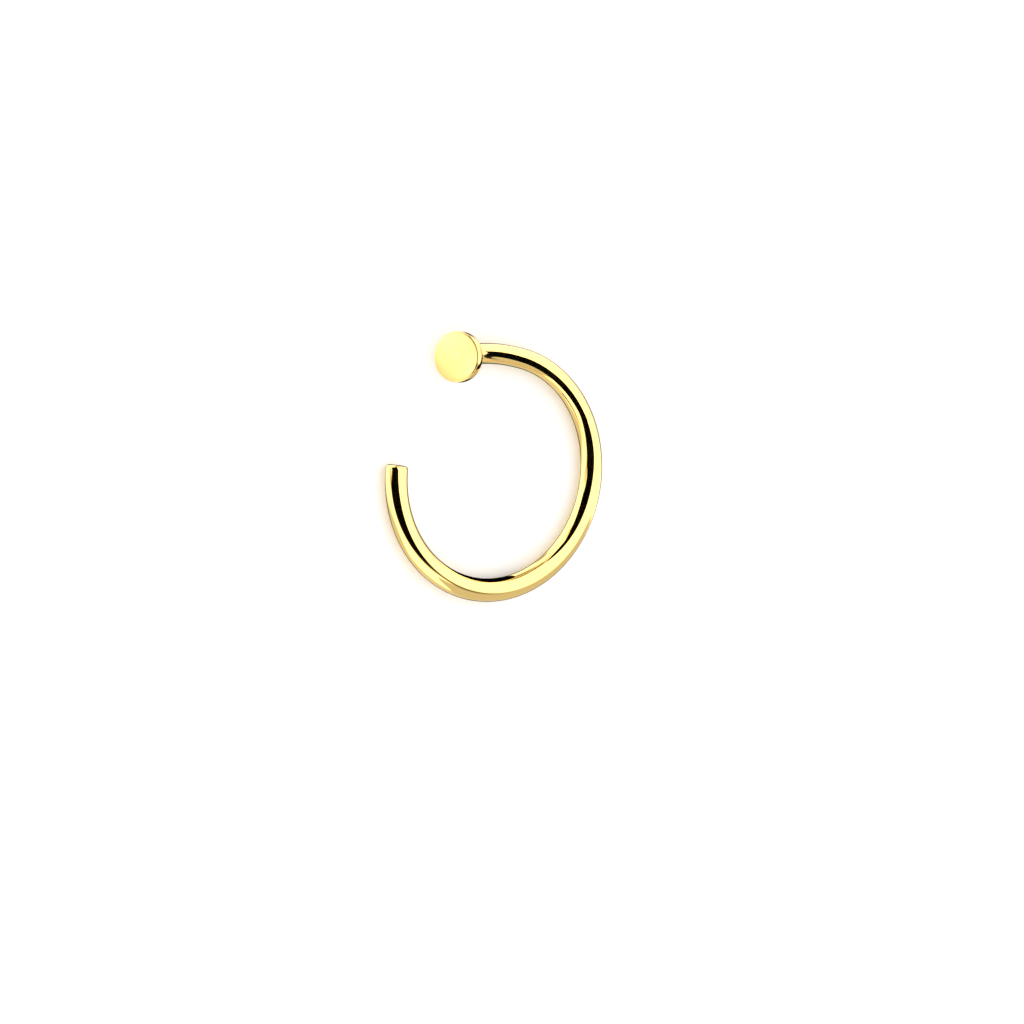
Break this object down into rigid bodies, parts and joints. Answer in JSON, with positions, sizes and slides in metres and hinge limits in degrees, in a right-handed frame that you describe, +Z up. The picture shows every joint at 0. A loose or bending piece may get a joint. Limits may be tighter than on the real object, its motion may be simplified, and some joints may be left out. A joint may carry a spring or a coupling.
{
  "type": "nose ring",
  "caption": "Open nose ring: a C-shaped hoop of round wire with one plain cut end and a small flat disc soldered on the other end as a stopper.",
  "frame": {"origin": "on the surface that the ring lies on, under the middle of its outline", "axes": "+Z up, across the hoop's thin side; the wire's cut end is on the -X side and the disc is on the -X, +Y side, with its flat face turned to -X and up"},
  "size_m": [0.0096, 0.0102, 0.0022],
  "materials": {
    "polished_gold": "mirror-polished gold plate"
  },
  "bodies": {
    "root": {"nose_ring": "polished_gold"}
  },
  "joints": []
}
